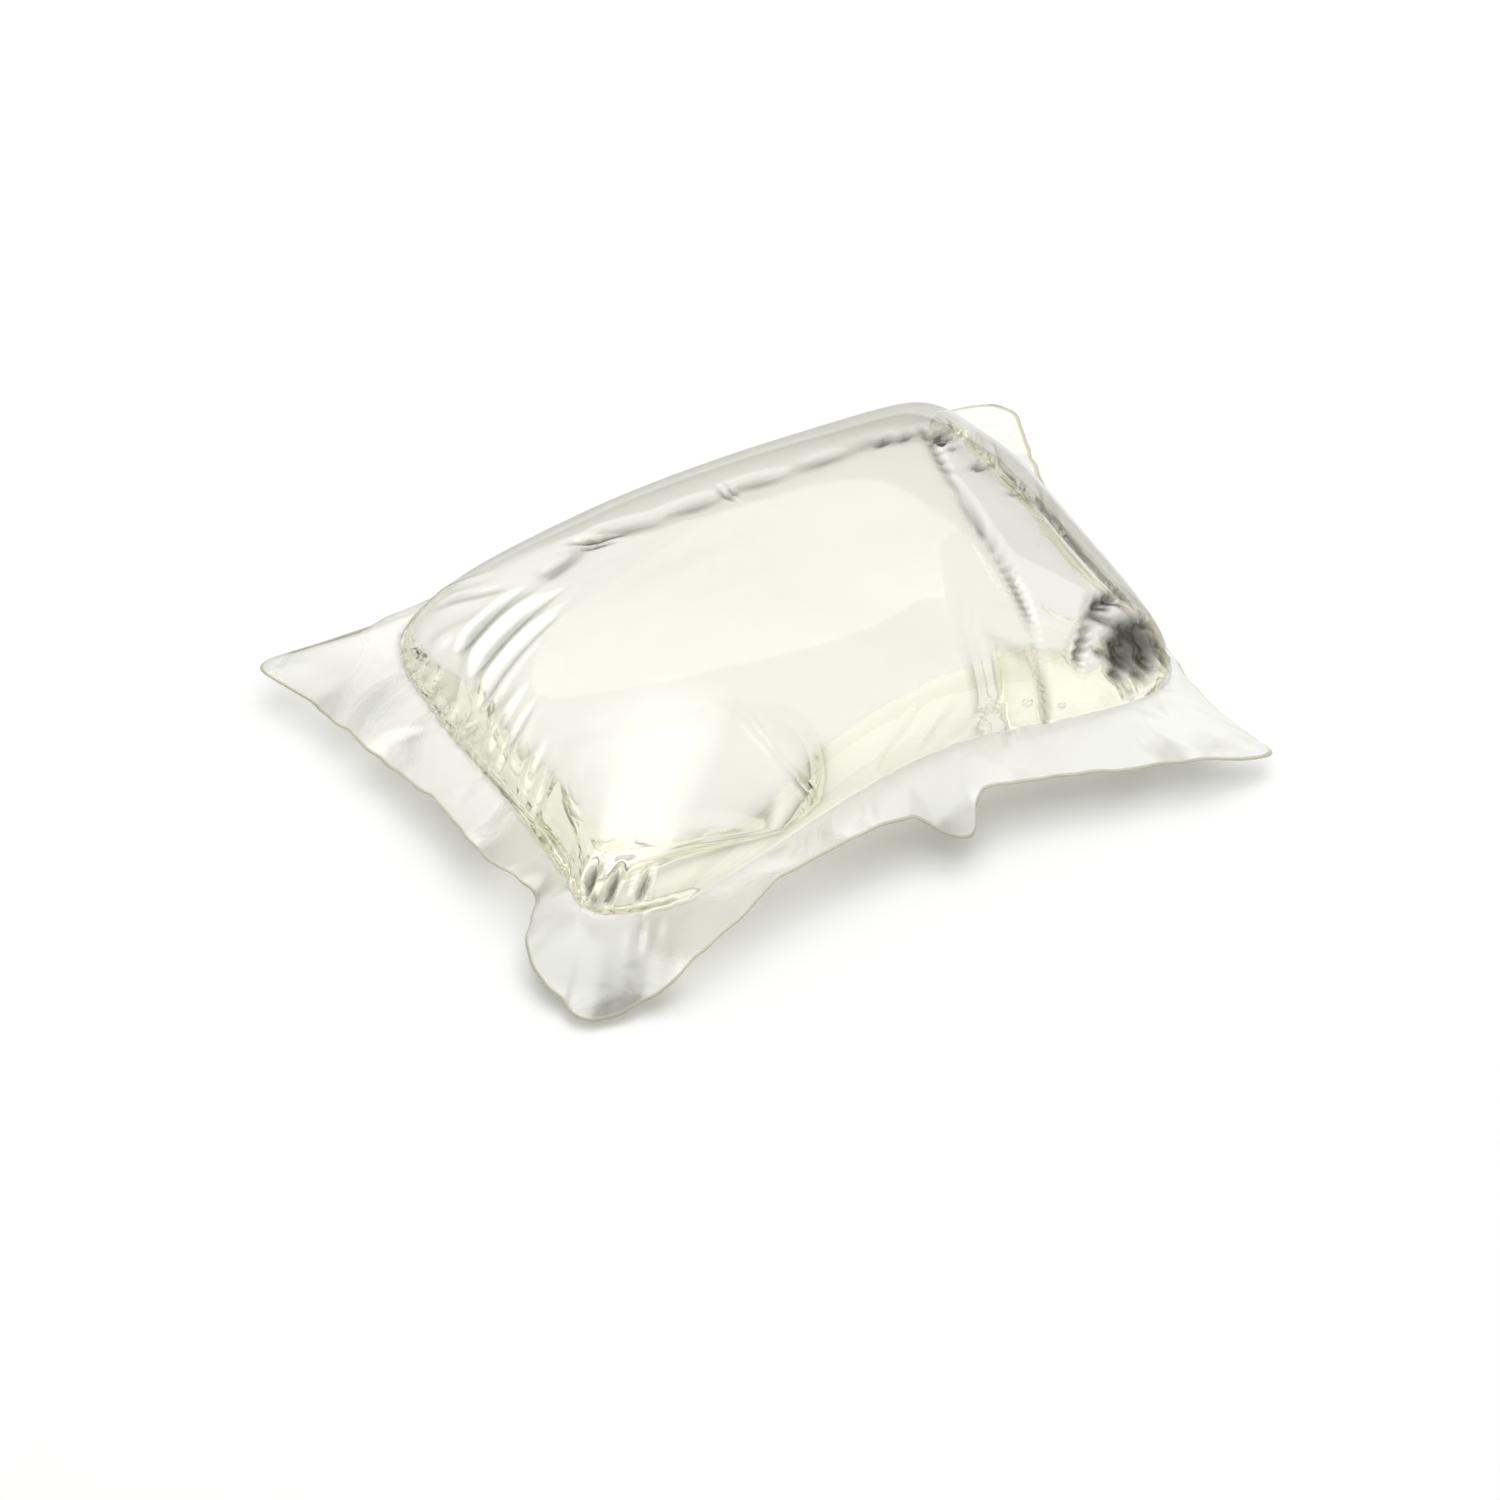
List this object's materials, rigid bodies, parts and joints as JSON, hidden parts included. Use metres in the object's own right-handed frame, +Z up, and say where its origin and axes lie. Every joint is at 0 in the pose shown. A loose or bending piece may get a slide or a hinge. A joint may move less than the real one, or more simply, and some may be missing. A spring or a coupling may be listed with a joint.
{
  "type": "laundry pod",
  "caption": "Sealed liquid laundry pod: a domed pocket of clear film full of pale detergent, with a crinkled sealed rim whose corners droop.",
  "frame": {"origin": "middle of the rim's outline, on the floor under the belly", "axes": "+X along the pod towards its blunt end with the air bubble, +Y towards the long side away from the drooping corner, +Z up through the dome"},
  "size_m": [0.067, 0.0468, 0.0157],
  "materials": {
    "clear_film": "clear, glossy and thin",
    "detergent": "clear pale straw liquid, faintly cloudy"
  },
  "bodies": {
    "root": {"pocket_film": "clear_film", "lid_film": "clear_film", "detergent": "detergent"}
  },
  "joints": []
}
